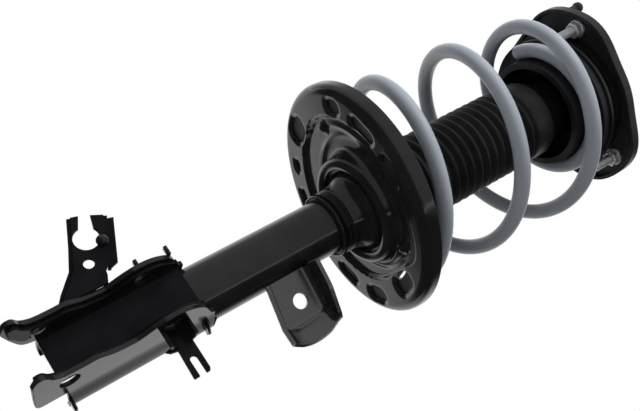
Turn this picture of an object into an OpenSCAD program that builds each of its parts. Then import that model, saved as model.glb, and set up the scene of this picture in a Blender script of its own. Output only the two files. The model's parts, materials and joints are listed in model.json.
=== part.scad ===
// Front suspension strut assembly: damper, offset coil spring, top mount and knuckle bracket.
// +Z runs up the piston rod, and the origin is the centre of the top mount's seating face.
// All sizes are in millimetres.

/* [Top mount] */
// Radius of the mount plate between its bolt lobes
plate_r = 70.5; // [70:0.5:75]
// Radius of the mount plate at a bolt lobe
plate_lobe_r = 85; // [84.5:0.5:91]
// Thickness of the mount plate
plate_t = 4; // [3:0.5:5]
// Depth of the turned-down rim of the mount plate, below the plate
plate_rim_h = 4; // [3:0.5:6]
// Bolt circle of the three tower bolts
bolt_pcd = 141; // [140:1:144]
// Shank diameter of a tower bolt
bolt_d = 8; // [7:0.5:9]
// Length of shank that stands out below a weld nut
bolt_tail = 19; // [14:1:19]
// Width across flats of a tower bolt head and of a weld nut
bolt_af = 13; // [12:0.5:15]
// Outer radius of the dome that holds the rubber
dome_r = 46; // [44:1:48]
// Height of the dome above the seating face
dome_h = 15; // [12:1:18]
// Outer radius of the steel sleeve in the rubber
sleeve_r = 16; // [14:0.5:18]
// Radius of the steering bearing housing
bearing_r = 60; // [58:0.5:60.5]
// Radius of a bearing ball
ball_r = 2.8; // [2.4:0.1:3]
// Number of bearing balls
ball_count = 24; // [18:1:30]

/* [Piston rod] */
// Diameter of the piston rod
rod_d = 20; // [18:0.5:22]
// Diameter of the rod's threaded ends
rod_thread_d = 14; // [12:0.5:15]
// Bore of the pressure tube
bore_d = 32; // [30:0.5:33]
// Wall of the pressure tube
pressure_wall = 1.5; // [1.2:0.1:2]

/* [Strut tube] */
// Outer diameter of the strut tube
tube_d = 45; // [43:0.5:47]
// Wall of the strut tube
tube_wall = 2.2; // [1.8:0.1:2.6]
// Height of the lower spring seat below the seating face
seat_drop = 253; // [248:1:262]
// Length of tube above the lower spring seat
tube_above_seat = 40; // [36:1:44]
// Length of tube below the lower spring seat
tube_below_seat = 252; // [246:1:256]

/* [Lower spring seat] */
// Distance from the middle of the spring wire out to the seat's rim
seat_margin = 17.5; // [15:0.5:19]
// Sheet thickness of the lower spring seat
seat_t = 3; // [2.5:0.25:3.5]
// Height of the seat's outer rim above its lowest face
seat_rim_h = 15.3; // [12:0.5:18]
// Offset of the seat's centre from the rod, along X
seat_off_x = -13; // [-15:0.5:-11]
// Offset of the seat's centre from the rod, along Y
seat_off_y = -8; // [-9:0.5:-6]
// Tilt of the seat about the Y axis, in degrees
seat_tilt_x = 2.6; // [2:0.1:3]
// Tilt of the seat about the X axis, in degrees
seat_tilt_y = 2.6; // [2:0.1:3]
// Thickness of the rubber under the coil spring
seat_rubber_t = 2; // [1.5:0.25:3]

/* [Coil spring] */
// Wire diameter
wire_d = 13.3; // [12.5:0.1:13.5]
// Mean radius of the spring body
coil_r = 84; // [82:0.5:86]
// Mean radius of the small top coil
top_coil_r = 56.2; // [56:0.1:58]
// Turns that lie flat on the lower seat
dead_turns = 0.39; // [0.34:0.01:0.43]
// Turns between the lower seat and the flat top coil
live_turns = 3; // [2.94:0.02:3.04]
// Turns of the flat top coil
top_turns = 0.6; // [0.5:0.05:0.65]

/* [Dust boot] */
// Outer radius of the boot's ribs
boot_r = 36.2; // [35:0.2:38]
// Depth of the boot's ribs
boot_rib_depth = 4.5; // [3.5:0.25:5]
// Wall of the boot
boot_wall = 1.6; // [1.2:0.1:2]
// Number of ribs
boot_ribs = 15; // [13:1:16]

/* [Knuckle bracket] */
// Sheet thickness of the knuckle bracket
bracket_t = 3.5; // [3:0.25:4]
// Sheet thickness of the bracket's inner channel
channel_t = 3; // [2.5:0.25:3.5]
// Angle of the bracket's open side from the X axis, in degrees
bracket_turn = -20; // [-25:1:-15]
// Diameter of the knuckle bolt holes
knuckle_hole_d = 15; // [12:0.5:16]
// Distance between the two knuckle bolt holes
knuckle_pitch = 78; // [76:1:80]
// Distance of the knuckle bolts from the tube's axis
knuckle_reach = 36; // [35:0.5:38]

/* [Small brackets] */
// Diameter of the hole for the stabiliser link
link_hole_d = 12.5; // [10:0.5:14]
// Sheet thickness of the stabiliser link bracket
link_t = 3.5; // [3:0.25:4]
// Sheet thickness of the hose bracket
hose_t = 2.5; // [2:0.25:3]
// Diameter of the hose bracket's round slot
hose_slot_d = 19; // [17:0.5:20]
// Diameter of the hose bracket's screw hole
hose_hole_d = 8; // [6:0.5:9]
// Sheet thickness of the sensor cable clip
clip_t = 2.5; // [2:0.25:3]
// Width of the slot in the sensor cable clip
clip_slot_w = 5.5; // [4.5:0.25:6]

/* [Hidden] */
$fn = 96;

// Running clearances: a sliding shaft, a free piece beside a moving one, and a ball in its race
run_gap = 0.05;
free_gap = 1;
race_gap = 0.05;

// Top mount, from the seating face down
plate_rim_t = 3;
bolt_azimuth = 77;
lobe_azimuths = [-49, 83, 197];
lobe_half = 64;
nut_h = 8;
head_h = 6;
nut_collar_r = bolt_af / 2 + 1.5;
nut_collar_h = 1.5;
dome_t = 3;
dome_mouth_r = 30;
sleeve_top = 9;
race_upper_h = 8;
race_lower_h = 4;
race_inner_r = 40;
ball_circle_r = 49;
ball_sink = 0.9;
ball_z = -plate_t - race_upper_h - ball_r + ball_sink;
race_lower_top = ball_z - ball_r + ball_sink;
seat_flange_top = race_lower_top - race_lower_h;
pin_r = 5;
pin_h = 17;
pin_circle_r = 80.5;
pin_azimuth = -54;

// Upper spring seat and its rubber
upper_seat_t = 3;
upper_seat_r = bolt_pcd / 2 - bolt_d / 2 - 1.5;
upper_rubber_t = 7.2;
upper_rubber_r = upper_seat_r - 2;
upper_hole_r = 30;
seat_rib_h = 14;
pilot_r = top_coil_r - wire_d / 2 - 3;
pilot_drop = 25;
pilot_lip = 2.6;
pilot_rubber_gap = 0.25;
flange_low = seat_flange_top - upper_seat_t;
wire_top = flange_low - upper_rubber_t;
top_coil_z = wire_top - wire_d / 2;

// Rod, piston and stops
rod_r = rod_d / 2;
rod_thread_r = rod_thread_d / 2;
washer_h = 3;
washer_r = 19;
rod_nut_af = 22;
rod_nut_h = 11;
rod_tail = 5;
rod_top = sleeve_top + washer_h + rod_nut_h + rod_tail;
cup_r = 27;
cup_t = 2.5;
cup_skirt_h = 9;
bump_r = 24;
bump_h = 64;
bump_waist = 3.5;
rod_shoulder = -plate_t - race_upper_h;

// Strut tube and its pieces
tube_r = tube_d / 2;
tube_in_r = tube_r - tube_wall;
tube_top = -seat_drop + tube_above_seat;
tube_bottom = -seat_drop - tube_below_seat;
bore_r = bore_d / 2;
pressure_r = bore_r + pressure_wall;
cap_t = 3;
cap_skirt_h = 14;
seal_h = 7;
guide_h = 18;
guide_low = tube_top - seal_h - guide_h;
bush_t = 1.5;
buffer_h = 10;
buffer_r = 14;
piston_h = 20;
piston_low = guide_low - 1 - buffer_h - piston_h;
piston_nut_h = 9;
band_h = 10;
band_t = 1.2;
valve_h = 16;
end_h = 8;

// Lower seat: profile radii and heights in the seat's own tilted frame
seat_r = coil_r + seat_margin;
seat_flat_r = seat_r - 5;
seat_rim_fall = 8.8;
seat_trim_tilt = atan(seat_rim_fall / (2 * seat_r));
seat_floor_h = 4;
// The raised floor's edge, as azimuth and distance out from the coil's middle: it widens to follow
// the coil as it lifts off
seat_floor_edge = [[0, -5], [10, -3], [30, 0], [46, 1], [54, -4], [62, -10], [75, -14], [100, -15],
    [140, -15], [180, -15], [220, -15], [255, -14], [273, -10], [300, -9], [330, -7.5]];
collar_r = tube_r + 3.8;
collar_low = -38;
collar_waist = -24;
collar_flare_r = 32;
collar_flare_z = -10;
boss_r = 44;
boss_t = 2.5;
dead_coil_z = seat_t + seat_rubber_t + wire_d / 2 + 0.15;
// Slots in the seat: azimuth, centre's distance out from the coil's middle, length along the rim, width
seat_slots = [[302, 1, 17, 11], [248, -1, 27, 19], [219, -2, 11, 6], [196, 0, 17, 8],
    [329, -1, 28, 10], [357, -1, 25, 10], [140, 1, 25, 9], [111, 2, 24, 12], [74, -3, 28, 15]];
seat_dimples = [[280, -19], [49, -16]];
gusset_reach = coil_r - 18;
dimple_r = 4.5;

// Coil spring centreline, in turns from the end of the dead coil
wire_r = wire_d / 2;
first_azimuth = 133;
rings_per_turn = 24;
wire_sides = 6;
shrink_turns = 0.56;

// Bracket outlines: X is the reach from the tube's axis, Y is the height. The sheet wraps round
// the tube and draws in to the flanges.
wrap_r = tube_r + bracket_t;
flange_out = tube_r + 1;
flange_in = flange_out - bracket_t;
wrap_x = sqrt(wrap_r * wrap_r - flange_out * flange_out);
bracket_top = -411;
bracket_foot = -527;
upper_hole_z = -447;
lower_hole_z = upper_hole_z - knuckle_pitch;
flange_tip = lower_hole_z - 25;
lip = knuckle_reach + 12;
upper_tip = [[12, flange_tip + 22], [21, flange_tip + 12], [36, flange_tip + 5]];
lower_tip = [[12, flange_tip + 14], [14, flange_tip + 5], [20, flange_tip + 1]];
flange_edge = [[lip + 6, flange_tip], [lip + 12, flange_tip + 3], [lip + 12.5, flange_tip + 9],
    [lip + 5, flange_tip + 14], [lip, flange_tip + 22], [lip - 1, flange_tip + 35],
    [lip - 1, flange_tip + 46], [lip - 6, flange_tip + 57], [lip - 8, flange_tip + 69],
    [lip - 8, flange_tip + 76], [lip - 3, flange_tip + 89], [lip - 0.5, flange_tip + 100],
    [lip - 1, flange_tip + 110], [lip - 6, bracket_top - 18], [lip - 14, bracket_top - 10],
    [20, bracket_top - 4], [wrap_x - 1.5, bracket_top - 0.5], [wrap_x - 1.5, bracket_foot + 0.5]];
channel_low = bracket_foot - 2;
channel_high = bracket_top - 8;
// The wrap stops higher behind the tube's end
wrap_notch = [[-40, bracket_foot - 1], [-11, bracket_foot - 1], [-12, bracket_foot + 8],
    [-15, bracket_foot + 16], [-19, bracket_foot + 21], [-24, bracket_foot + 23], [-40, bracket_foot + 23]];
channel_inset = 3.5;

// Link bracket, in the part's frame
link_x = 12;
link_low = -365;
link_high = -326.5;
link_bend_y = 55;
link_end_y = 69;
link_hole_y = 41;
link_hole_z = -344;
link_wall_h = 20;

// Hose bracket, in the knuckle bracket's frame: X along the flange's normal, Y the height
hose_s = 40;
hose_slot = [-61, -467.5];
hose_hole = [-42.5, -475.5];
hose_plate = [[-flange_out, -506], [-29, -501], [-42, -488], [-61, -478.5], [-81, -469.5],
    [-79.5, -464], [-76, -456], [-72, -448], [-35, -465], [-32, -468], [-29, -468.5], [-flange_out, -471]];
hose_mouth = [[-84, -461.5], [-68, -470], [-62, -470], [-62, -462], [-66, -459.3], [-79, -455.6]];

// Sensor cable clip, in the same frame: a half collar round the upper bolt hole, then a forked plate
clip_collar_r = 8.6;
clip_collar_x = knuckle_reach + 0.5;
clip_s = clip_collar_x - clip_collar_r - clip_t;
clip_mid_z = -446.5;
clip_fork = 47;
clip_reach = 62;

// --- helpers -------------------------------------------------------------------------------

function polar(r, a, z = 0) = [r * cos(a), r * sin(a), z];

module ring(r_out, r_in, z_low, h) {
    translate([0, 0, z_low]) difference() {
        cylinder(r = r_out, h = h);
        translate([0, 0, -1]) cylinder(r = r_in, h = h + 2);
    }
}

module hex(af, h) {
    cylinder(r = af / sqrt(3), h = h, $fn = 6);
}

module at_bolts() {
    for (i = [0:2]) rotate(bolt_azimuth + 120 * i) translate([bolt_pcd / 2, 0, 0]) children();
}

// The lower seat's tilted frame, with its origin on the seat's lowest face
module seat_frame() {
    translate([seat_off_x, seat_off_y, -seat_drop]) rotate([-seat_tilt_y, seat_tilt_x, 0]) children();
}

// The bracket's frame: X is the reach, Y is normal to the flanges
module bracket_frame() {
    rotate(bracket_turn) children();
}

// A plate of thickness t whose outline is drawn in X and Z, with its near face at y
module side_plate(y, t) {
    translate([0, y + t, 0]) rotate([90, 0, 0]) linear_extrude(t) children();
}

// A plate of thickness t whose outline is drawn in Y and Z, with its near face at x
module face_plate(x, t) {
    translate([x, 0, 0]) rotate([90, 0, 90]) linear_extrude(t) children();
}

// --- top mount -----------------------------------------------------------------------------

// Plate radius at an azimuth: three round lobes that blend into the disc
function lobe_share(d) = let (s = 0.5 + 0.5 * cos(180 * min(1, d / lobe_half))) s * s * (3 - 2 * s);
function turn_between(a, b) = abs((a - b + 540) % 360 - 180);
function plate_radius(a) = plate_r + (plate_lobe_r - plate_r)
    * max([for (l = lobe_azimuths) lobe_share(turn_between(a, l))]);

module plate_outline(inset = 0) {
    polygon([for (a = [0:3:357]) (plate_radius(a) - inset) * [cos(a), sin(a)]]);
}

module mount_plate() color("#1c1c1e") difference() {
    union() {
        translate([0, 0, -plate_t]) linear_extrude(plate_t) plate_outline();
        difference() {
            translate([0, 0, -plate_t - plate_rim_h]) linear_extrude(plate_rim_h + 1) plate_outline();
            translate([0, 0, -plate_t - plate_rim_h - 1])
                linear_extrude(plate_rim_h + 3) plate_outline(plate_rim_t);
        }
    }
    translate([0, 0, -plate_t - 1]) cylinder(r = dome_r, h = plate_t + 2);
    at_bolts() translate([0, 0, -plate_t - 1]) cylinder(d = bolt_d, h = plate_t + 2);
}

module mount_dome() color("#1b1b1d") {
    ring(dome_r, dome_r - dome_t, -plate_t, plate_t + dome_h);
    ring(dome_r, dome_mouth_r, dome_h - dome_t, dome_t);
}

module mount_rubber() color("#202020") rotate_extrude() polygon([[sleeve_r, -plate_t],
    [dome_r - dome_t, -plate_t], [dome_r - dome_t, dome_h - dome_t], [dome_mouth_r - 1, dome_h - dome_t],
    [sleeve_r + 4, sleeve_top - 1], [sleeve_r, sleeve_top - 1]]);

module mount_sleeve() color("#8f9296") ring(sleeve_r, rod_thread_r + run_gap, rod_shoulder, sleeve_top - rod_shoulder);

module weld_nuts() color("#c9ccce") at_bolts() difference() {
    union() {
        translate([0, 0, -plate_t - nut_h]) hex(bolt_af, nut_h);
        translate([0, 0, -plate_t - nut_collar_h]) cylinder(r = nut_collar_r, h = nut_collar_h);
    }
    translate([0, 0, -plate_t - nut_h - 1]) cylinder(d = bolt_d, h = nut_h + 2);
}

module mount_bolts() color("#d4d6d8") at_bolts() {
    hex(bolt_af, head_h);
    translate([0, 0, -plate_t - nut_h - bolt_tail + 1]) cylinder(d = bolt_d, h = plate_t + nut_h + bolt_tail - 1);
    translate([0, 0, -plate_t - nut_h - bolt_tail]) cylinder(d1 = bolt_d - 2, d2 = bolt_d, h = 1);
}

module locating_pin() color("#1a1a1a") translate(polar(pin_circle_r, pin_azimuth)) {
    cylinder(r = pin_r - 1.5, h = pin_h - pin_r);
    translate([0, 0, pin_h - pin_r]) sphere(r = pin_r);
}

// The ball track cut into a race, running round at the ball circle
module ball_track() {
    rotate_extrude() translate([ball_circle_r, ball_z]) circle(r = ball_r + race_gap, $fn = 48);
}

module bearing_upper_race() color("#17181a") difference() {
    union() {
        ring(bearing_r, race_inner_r, -plate_t - race_upper_h, race_upper_h);
        ring(race_inner_r + 1, cup_r + free_gap, -plate_t - cup_t, cup_t);
    }
    ball_track();
}

module bump_stop_cup() color("#2b2c2e") {
    ring(cup_r, rod_thread_r + run_gap, rod_shoulder - cup_t, cup_t);
    ring(cup_r, cup_r - cup_t, rod_shoulder - cup_t - cup_skirt_h, cup_skirt_h + cup_t);
}

module rod_washer() color("#b9bcbf") ring(washer_r, rod_thread_r + run_gap, sleeve_top, washer_h);

module rod_nut() color("#c9ccce") translate([0, 0, sleeve_top + washer_h]) difference() {
    hex(rod_nut_af, rod_nut_h);
    translate([0, 0, -1]) cylinder(r = rod_thread_r, h = rod_nut_h + 2);
}

// --- piston rod ----------------------------------------------------------------------------

module piston_rod() color("#e2e4e6") {
    translate([0, 0, piston_low - piston_nut_h - 2]) cylinder(r = rod_thread_r, h = rod_top - piston_low + piston_nut_h + 2);
    translate([0, 0, piston_low + piston_h]) cylinder(r = rod_r, h = rod_shoulder - cup_t - piston_low - piston_h);
}

module rebound_buffer() color("#c8b46a") ring(buffer_r, rod_r, piston_low + piston_h, buffer_h);

module piston() color("#6f7276") difference() {
    ring(bore_r - run_gap - band_t, rod_thread_r, piston_low, piston_h);
    for (i = [0:7]) rotate(45 * i) translate([(rod_thread_r + bore_r) / 2, 0, piston_low - 1])
        cylinder(d = 2.5, h = piston_h + 2, $fn = 24);
}

module piston_band() color("#3a5f4a") {
    ring(bore_r - run_gap, bore_r - run_gap - band_t, piston_low + (piston_h - band_h) / 2, band_h);
}

module piston_nut() color("#9a9da0") translate([0, 0, piston_low - piston_nut_h]) difference() {
    hex(rod_thread_d + 8, piston_nut_h);
    translate([0, 0, -1]) cylinder(r = rod_thread_r, h = piston_nut_h + 2);
}

module bump_stop() color("#d8cda0") translate([0, 0, rod_shoulder - cup_t - bump_h]) difference() {
    rotate_extrude() polygon([[0, 0], [bump_r - 8, 0], [bump_r - 4, 6], [bump_r - 4, 18],
        [bump_r - 4 - bump_waist, 23], [bump_r - 4 - bump_waist, 26], [bump_r - 1, 31], [bump_r - 1, 42],
        [bump_r - 1 - bump_waist, 46], [bump_r - 1 - bump_waist, 49], [bump_r, 53], [bump_r, bump_h], [0, bump_h]]);
    translate([0, 0, -1]) cylinder(r = rod_r + run_gap, h = bump_h + 2);
}

// --- upper spring seat ---------------------------------------------------------------------

module bearing_lower_race() color("#17181a") difference() {
    ring(bearing_r - 2, race_inner_r, race_lower_top - race_lower_h, race_lower_h);
    ball_track();
}

module bearing_balls() color("#d9dbdd") for (i = [0:ball_count - 1])
    translate(polar(ball_circle_r, 360 / ball_count * i, ball_z)) sphere(r = ball_r, $fn = 32);

module bearing_cage() color("#d7d2bd") difference() {
    ring(ball_circle_r + ball_r, ball_circle_r - ball_r, race_lower_top + 0.3, 1.6);
    for (i = [0:ball_count - 1]) translate(polar(ball_circle_r, 360 / ball_count * i, ball_z))
        sphere(r = ball_r + race_gap, $fn = 32);
}

module upper_spring_seat() color("#1a1a1c") {
    ring(upper_seat_r, upper_hole_r, flange_low, upper_seat_t);
    ring(pilot_r, pilot_r - upper_seat_t, flange_low - pilot_drop, pilot_drop);
    ring(pilot_r + pilot_lip, pilot_r - upper_seat_t, flange_low - pilot_drop - 2, 2.5);
    for (i = [0:5]) rotate(60 * i + 10) translate([boot_r + 1, -1, flange_low - seat_rib_h])
        cube([pilot_r - boot_r - 2, 2, seat_rib_h + 1]);
}

module upper_seat_rubber() color("#232323") {
    ring(upper_rubber_r, pilot_r, wire_top, upper_rubber_t);
    ring(pilot_r + 3 - pilot_rubber_gap, pilot_r, flange_low - pilot_drop + 0.5, pilot_drop - 0.5);
}

// --- coil spring ---------------------------------------------------------------------------

end_turns = live_turns + top_turns;
climb_low = -seat_drop + dead_coil_z;
function smooth(s) = let (c = min(1, max(0, s))) c * c * (3 - 2 * c);
// Share of the climb done after t live turns: the wire lifts off the seat quickly, climbs evenly,
// and runs out flat under the upper seat
lift = 0.01;
late = 0.73;
slow = 0.99;
function lifted(s) = s < lift ? s * s / (2 * lift) : s - lift / 2;
function climbed(s) = s < late ? s - (1 - slow) / (2 * late) * s * s
    : (1 + slow) / 2 * late + slow * (s - late) - slow / (2 * (1 - late)) * (s - late) * (s - late);
function climb(t) = climbed(lifted(min(1, max(0, t / live_turns)))) / climbed(lifted(1));
function mean_r(t) = coil_r + (top_coil_r - coil_r) * smooth((t - live_turns + shrink_turns) / shrink_turns);
// A wire centre after t turns. The coils lean with the lower seat, and straighten where they
// draw in to the small top coil.
function wire_centre(t) = let (a = first_azimuth - 360 * t, r = mean_r(t), c = climb(t),
    lean = 1 - smooth((t - live_turns + shrink_turns) / shrink_turns))
    [seat_off_x * (1 - c) + r * cos(a), seat_off_y * (1 - c) + r * sin(a),
     climb_low + (top_coil_z - climb_low) * c
     - lean * r * (tan(seat_tilt_x) * cos(a) + tan(seat_tilt_y) * sin(a))];
function unit(v) = v / norm(v);
// A ring of points round the wire at turn t, square to its path
function wire_ring(t) = let (c = wire_centre(t), d = unit(wire_centre(t + 0.005) - wire_centre(t - 0.005)),
    a = first_azimuth - 360 * t, n = unit([cos(a), sin(a), 0] - d * ([cos(a), sin(a), 0] * d)), b = cross(d, n))
    [for (k = [0:wire_sides - 1]) let (w = 360 / wire_sides * k + 90) c + wire_r * (cos(w) * n + sin(w) * b)];

ring_count = ceil((dead_turns + end_turns) * rings_per_turn) + 1;
function ring_turn(i) = -dead_turns + (dead_turns + end_turns) * i / (ring_count - 1);

// A closed tube through rings of equal count, with triangles only
function tube_faces(rings, sides) = concat(
    [for (k = [1:sides - 2]) [0, k, k + 1]],
    [for (i = [0:rings - 2], k = [0:sides - 1]) [i * sides + k, (i + 1) * sides + k, (i + 1) * sides + (k + 1) % sides]],
    [for (i = [0:rings - 2], k = [0:sides - 1]) [i * sides + k, (i + 1) * sides + (k + 1) % sides, i * sides + (k + 1) % sides]],
    [for (k = [1:sides - 2]) let (o = (rings - 1) * sides) [o, o + k + 1, o + k]]);

module coil_spring() color("#8d9299") {
    polyhedron([for (i = [0:ring_count - 1]) each wire_ring(ring_turn(i))], tube_faces(ring_count, wire_sides));
}

// Least gap between one turn of wire and the next, measured on points along the centreline
wire_gaps = [for (i = [0:ring_count - 1]) let (t = ring_turn(i)) if (t + 0.75 <= end_turns)
    min([for (s = [0.75:1 / 24:min(1.3, end_turns - t)]) norm(wire_centre(t + s) - wire_centre(t))]) - wire_d];
echo(least_spring_gap = min(wire_gaps));

// --- dust boot -----------------------------------------------------------------------------

boot_top = flange_low;
boot_shoulder_z = boot_top - 38;
boot_neck_z = boot_shoulder_z - 23;
boot_foot_z = tube_top - 12;
boot_foot_h = 8;
boot_pitch = (boot_neck_z - boot_foot_z - boot_foot_h) / boot_ribs;
boot_root_r = boot_r - boot_rib_depth;
boot_neck_r = boot_r - 1.2;
boot_sleeve_r = upper_hole_r - 0.5;
// Rib line from the neck down: root, crest, root, at an inset for the inside
function rib_line(inset) = [for (i = [0:boot_ribs - 1], k = [0, 1]) let (z = boot_neck_z - (i + k / 2) * boot_pitch)
    [(k == 0 ? boot_root_r : boot_r) - inset, z]];

module dust_boot() color("#1b1b1b") rotate_extrude() polygon(concat(
    [[boot_sleeve_r, boot_top], [boot_sleeve_r, boot_shoulder_z + 2], [boot_neck_r - 1, boot_shoulder_z],
     [boot_neck_r, boot_shoulder_z - 1.5], [boot_neck_r, boot_neck_z + 2]], rib_line(0),
    [[boot_root_r, boot_foot_z + boot_foot_h], [boot_root_r, boot_foot_z]],
    [[boot_root_r - boot_wall, boot_foot_z], [boot_root_r - boot_wall, boot_foot_z + boot_foot_h]],
    [for (i = [2 * boot_ribs - 1:-1:0]) rib_line(boot_wall)[i]],
    [[boot_neck_r - boot_wall, boot_neck_z + 2], [boot_neck_r - boot_wall, boot_shoulder_z - boot_wall],
     [boot_sleeve_r - boot_wall, boot_shoulder_z], [boot_sleeve_r - boot_wall, boot_top]]));

// --- strut tube ----------------------------------------------------------------------------

module strut_tube() color("#141415") ring(tube_r, tube_in_r, tube_bottom, tube_top - tube_bottom);

module pressure_tube() color("#8d9092") ring(pressure_r, bore_r, tube_bottom + end_h + valve_h, guide_low - tube_bottom - end_h - valve_h);

module base_valve() color("#6f7276") translate([0, 0, tube_bottom + end_h]) difference() {
    union() {
        cylinder(r = pressure_r, h = valve_h);
        cylinder(r = tube_in_r, h = 4);
    }
    for (i = [0:5]) rotate(60 * i) {
        translate([bore_r / 2, 0, -1]) cylinder(d = 2.5, h = valve_h + 2, $fn = 24);
        translate([(pressure_r + tube_in_r) / 2, 0, -1]) cylinder(d = 1.6, h = 6, $fn = 24);
    }
}

module rod_guide() color("#84878a") difference() {
    ring(tube_in_r, rod_r + run_gap + bush_t, guide_low, guide_h);
    ring(tube_in_r + 1, pressure_r, guide_low - 1, 7);
}

module rod_bush() color("#4a6b57") ring(rod_r + run_gap + bush_t, rod_r + run_gap, guide_low, guide_h);

module rod_seal() color("#1e1e1e") ring(tube_in_r, rod_r + run_gap, tube_top - seal_h, seal_h);

module tube_cap() color("#1a1a1c") {
    ring(tube_r + cap_t / 2, rod_r + free_gap, tube_top, cap_t);
    ring(tube_r + cap_t / 2, tube_r, tube_top - cap_skirt_h, cap_skirt_h);
}

module tube_end() color("#141415") translate([0, 0, tube_bottom]) difference() {
    cylinder(r = tube_in_r, h = end_h);
    translate([0, 0, -1]) cylinder(r1 = tube_in_r - 4, r2 = tube_in_r - 8, h = end_h - 2);
}

// --- lower spring seat ---------------------------------------------------------------------

seat_under = [[0, 0], [seat_flat_r, 0], [seat_r - 1.5, 1.5], [seat_r, 5], [seat_r, seat_rim_h]];
seat_over = [[seat_r - seat_t, seat_rim_h], [seat_r - seat_t, 6], [seat_flat_r - 1.5, seat_t], [0, seat_t]];

// The raised floor's outline, drawn wider by extra
module seat_floor_outline(extra = 0) {
    polygon([for (e = seat_floor_edge) (coil_r + e[1] + extra) * [cos(e[0]), sin(e[0])]]);
}

// A slot with round ends that lies along the rim
module seat_slot(azimuth, radius, length, width) {
    run = max(0.01, (length - width) / 2);
    rotate(azimuth) translate([radius, 0, -1]) {
        for (s = [-1, 1]) translate([0, s * run, 0]) cylinder(d = width, h = 12, $fn = 32);
        translate([-width / 2, -run, 0]) cube([width, 2 * run, 12]);
    }
}

// The strut tube's place in a piece of the seat
module tube_hole(r) {
    translate([0, 0, -seat_drop - 80]) cylinder(r = r, h = 140);
}

module lower_spring_seat() color("#131314") difference() {
    seat_frame() difference() {
        union() {
            rotate_extrude($fn = 128) polygon(concat(seat_under, seat_over));
            linear_extrude(seat_floor_h + seat_t) seat_floor_outline(seat_t);
            for (d = seat_dimples) translate(polar(coil_r + d[1], d[0], seat_floor_h)) sphere(r = dimple_r, $fn = 32);
        }
        difference() {
            translate([0, 0, -1]) linear_extrude(seat_floor_h + 1) seat_floor_outline();
            for (d = seat_dimples) translate(polar(coil_r + d[1], d[0], seat_floor_h)) sphere(r = dimple_r, $fn = 32);
        }
        for (s = seat_slots) seat_slot(s[0], coil_r + s[1], s[2], s[3]);
        // The rim is trimmed square to the coil, so it is lower on the far side
        translate([0, 0, seat_rim_h - seat_rim_fall / 2]) rotate([0, -seat_trim_tilt, 0])
            translate([-2 * seat_r, -2 * seat_r, 0]) cube([4 * seat_r, 4 * seat_r, 30]);
    }
    tube_hole(tube_r);
}

// The collar on the tube, its flared end, and the dished hub round it, down from the seat's floor
module seat_collar() color("#151516") intersection() {
    translate([0, 0, -seat_drop]) rotate_extrude() polygon([[tube_r, collar_low], [collar_r, collar_low],
        [collar_r, collar_low + 5], [collar_r - 1.2, collar_low + 6], [collar_r, collar_low + 7],
        [collar_r, collar_waist], [collar_r + 2.5, collar_waist + 8], [collar_flare_r, collar_flare_z],
        [collar_flare_r + 1.2, collar_flare_z + 5], [boss_r - 8.6, collar_flare_z + 5],
        [boss_r - 7.4, collar_flare_z], [boss_r, collar_flare_z - 1], [boss_r + 1.5, collar_flare_z + 1],
        [boss_r + 4, 20], [boss_r + 1.4, 20], [boss_r - 0.8, collar_flare_z + 2.5],
        [boss_r - 5.2, collar_flare_z + 2.5], [boss_r - 6.4, collar_flare_z + 5 + boss_t],
        [collar_flare_r - 1, collar_flare_z + 5 + boss_t], [collar_flare_r - 2.6, collar_flare_z + 2],
        [collar_r, collar_waist + 11], [tube_r + 0.8, collar_waist + 4], [tube_r, collar_waist + 4]]);
    seat_frame() translate([0, 0, -70]) cylinder(r = seat_flat_r, h = 70 + seat_floor_h);
}

// A folded rib that braces the hub against the seat, below the coil's end
module seat_gusset() color("#161617") intersection() {
    difference() {
        translate([0, 0, -seat_drop]) rotate(90) side_plate(-2.2, 4.4) polygon([[boss_r - 2, collar_flare_z + 1],
            [boss_r + 8, collar_flare_z + 2], [boss_r + 19, 4], [boss_r + 19, 20], [boss_r - 2, 20]]);
        translate([0, 0, -seat_drop]) rotate_extrude() polygon([[0, collar_low], [boss_r, collar_flare_z - 1],
            [boss_r + 1.5, collar_flare_z + 1], [boss_r + 4, 20], [0, 20]]);
    }
    seat_frame() translate([0, 0, -70]) cylinder(r = gusset_reach, h = 70 + seat_floor_h);
}

// The rubber follows the coil round the low part of the seat, from under its lift to its end
rubber_half_w = 4.5;
rubber_from = first_azimuth - 12;
rubber_to = -46;
module lower_seat_rubber() color("#232323") seat_frame() difference() {
    ring(coil_r + rubber_half_w, coil_r - rubber_half_w, seat_t, seat_rubber_t);
    linear_extrude(seat_t + seat_rubber_t + 1) polygon([[0, 0], polar2(140, rubber_to), polar2(140, -10),
        polar2(140, 30), polar2(140, 70), polar2(140, rubber_from)]);
}
function polar2(r, a) = r * [cos(a), sin(a)];

// --- brackets ------------------------------------------------------------------------------

module knuckle_holes(from, to) {
    for (z = [upper_hole_z, lower_hole_z]) translate([knuckle_reach, from, z]) rotate([-90, 0, 0])
        cylinder(d = knuckle_hole_d, h = to - from);
}

// A small square tab on the upper flange, pointing away from the tube
module bracket_tab(x, z, length) {
    translate([x, -flange_out + 0.5 - length, z]) cube([5, length, 2.5]);
}

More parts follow.
